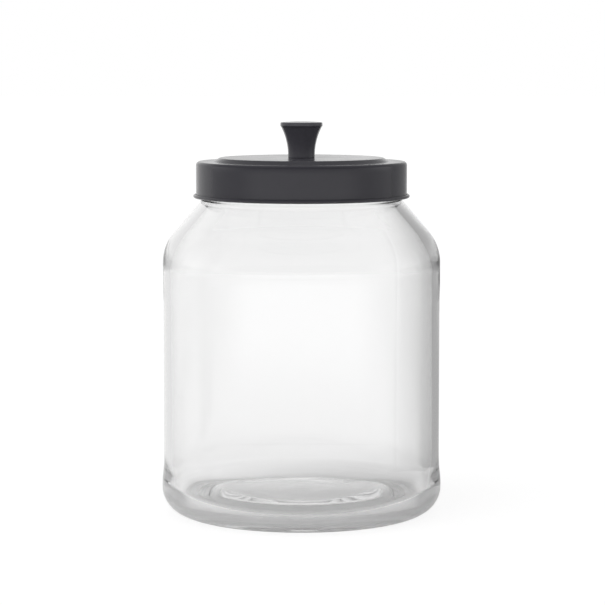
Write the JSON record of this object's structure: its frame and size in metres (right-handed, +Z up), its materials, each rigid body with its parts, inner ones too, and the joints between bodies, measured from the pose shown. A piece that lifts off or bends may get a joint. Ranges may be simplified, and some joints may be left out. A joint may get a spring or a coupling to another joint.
{
  "type": "storage jar",
  "caption": "Clear wide-mouthed glass storage jar with a sloping shoulder and a loose slip-over dark metal lid that has a raised panel, a rolled hem and a flared knob.",
  "frame": {"origin": "centre of the foot, on the surface that the jar stands on", "axes": "+Z up along the jar's axis, +Y away from the front of the picture"},
  "size_m": [0.1717, 0.1716, 0.24],
  "materials": {
    "clear_glass": "clear, fire-polished",
    "lid_enamel": "satin charcoal enamel on pressed steel",
    "knob_enamel": "satin charcoal enamel on turned metal"
  },
  "bodies": {
    "root": {"glass_jar": "clear_glass", "lid": "lid_enamel", "knob": "knob_enamel"}
  },
  "joints": []
}
